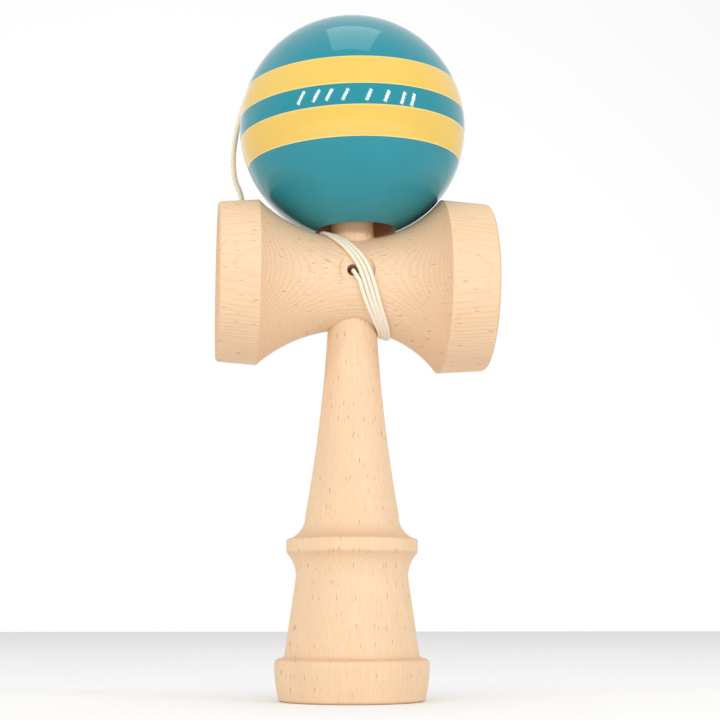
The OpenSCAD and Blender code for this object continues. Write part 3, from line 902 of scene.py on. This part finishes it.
class KENDAMA_OT_ball(Operator):
    """Build the lacquered ball, with its spike hole and its string hole"""

    bl_idname = "kendama.ball"
    bl_label = "Ball"

    def execute(self, context):
        ball = context.scene.kendama_ball
        verts, faces = turned(ball_profile(ball)[::-1], 192)
        obj = new_object("tama_lacquered_ball", verts, faces, [ball_lacquer(ball), drilled_beech()])
        for face in obj.data.polygons:
            from_axis = math.hypot(face.center.x, face.center.y)
            in_hole = from_axis < ball.spike_hole + MOUTH_BEVEL / 2 and face.center.z < ball.hole_top
            in_bore = from_axis < ball.string_hole * 1.01
            face.material_index = 1 if in_hole or in_bore else 0
        obj.data.set_sharp_from_angle(angle=SHARP_ANGLE)
        obj.matrix_world = placed_along(BALL_AXIS, BALL_CENTRE * MM)
        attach(obj, BALL_BODY)
        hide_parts("tama")
        return {"FINISHED"}


class KENDAMA_OT_wood(Operator):
    """Give the handle and the crosspiece their turned beech, with softened edges"""

    bl_idname = "kendama.wood"
    bl_label = "Wood"

    def execute(self, context):
        wood = context.scene.kendama_wood
        handle = beech("handle_turned_beech", grain_turn=(0.0, math.radians(90), 0.0), grain_index=2,
                       heart=0.0, layer_share=0.1, wood=wood)
        crosspiece = beech("crosspiece_turned_beech", grain_turn=(0.0, 0.0, 0.0), grain_index=0,
                           heart=CROSS_HEART_Z, layer_share=0.45, wood=wood)
        for node, material in (("ken", handle), ("sarado", crosspiece)):
            obj = frame["nodes"][node]
            obj.data.materials.clear()
            obj.data.materials.append(material)
        return {"FINISHED"}


class KENDAMA_OT_stage(Operator):
    """Set up the white floor, the soft lights and the camera"""

    bl_idname = "kendama.stage"
    bl_label = "Stage"

    def execute(self, context):
        stage = context.scene.kendama_stage
        half = stage.floor_size / 2
        corners = [(-half, -half, 0), (half, -half, 0), (half, half, 0), (-half, half, 0)]
        floor = new_object("studio_floor", corners, [(0, 1, 2, 3)], [studio_paper()], smooth=False)

        studio_world()
        hang_light(light_panel("overhead_softbox", OVERHEAD_SIZE, stage.overhead_glow), OVERHEAD_PLACE)
        strip = light_panel("front_strip", STRIP_SIZE, stage.strip_glow)
        for turn in map(math.radians, STRIP_TURNS):
            way = Vector((math.sin(turn), -math.cos(turn), STRIP_RISE)).normalized()
            hang_light(strip, BALL_CENTRE * MM + way * STRIP_DISTANCE, STRIP_ROLL)

        camera_data = bpy.data.cameras.new("studio_camera")
        camera_data.sensor_width = 36.0
        camera_data.lens = stage.lens
        camera_data.clip_start = 0.01
        camera = bpy.data.objects.new("studio_camera", camera_data)
        camera.location = stage.camera_place
        camera.rotation_euler = Vector(stage.camera_aim).to_track_quat("-Z", "Y").to_euler()
        context.collection.objects.link(camera)
        context.scene.camera = camera
        context.scene.view_settings.view_transform = "Standard"
        return {"FINISHED"}


class KENDAMA_PT_build(Panel):
    """The sizes and colours of each part of the kendama, and the operators that build it"""

    bl_label = "Kendama"
    bl_idname = "KENDAMA_PT_build"
    bl_space_type = "VIEW_3D"
    bl_region_type = "UI"
    bl_category = "Kendama"

    def draw(self, context):
        for group_name, group in GROUPS.items():
            box = self.layout.box()
            for name in group.__annotations__:
                box.prop(getattr(context.scene, group_name), name)
        for operator in OPERATORS:
            self.layout.operator(operator.bl_idname)


GROUPS = {"kendama_string": KendamaString, "kendama_ball": KendamaBall, "kendama_wood": KendamaWood,
          "kendama_stage": KendamaStage}
OPERATORS = (KENDAMA_OT_stage, KENDAMA_OT_string, KENDAMA_OT_ball, KENDAMA_OT_wood)


def register():
    for cls in (*GROUPS.values(), *OPERATORS, KENDAMA_PT_build):
        bpy.utils.register_class(cls)
    for name, group in GROUPS.items():
        setattr(bpy.types.Scene, name, PointerProperty(type=group))


def unregister():
    for name in GROUPS:
        delattr(bpy.types.Scene, name)
    for cls in (KENDAMA_PT_build, *reversed(OPERATORS), *GROUPS.values()):
        bpy.utils.unregister_class(cls)


def main():
    """Registers the add-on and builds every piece."""
    register()
    bpy.ops.kendama.stage()
    bpy.ops.kendama.string()
    bpy.ops.kendama.ball()
    bpy.ops.kendama.wood()


if __name__ == "__main__":
    main()
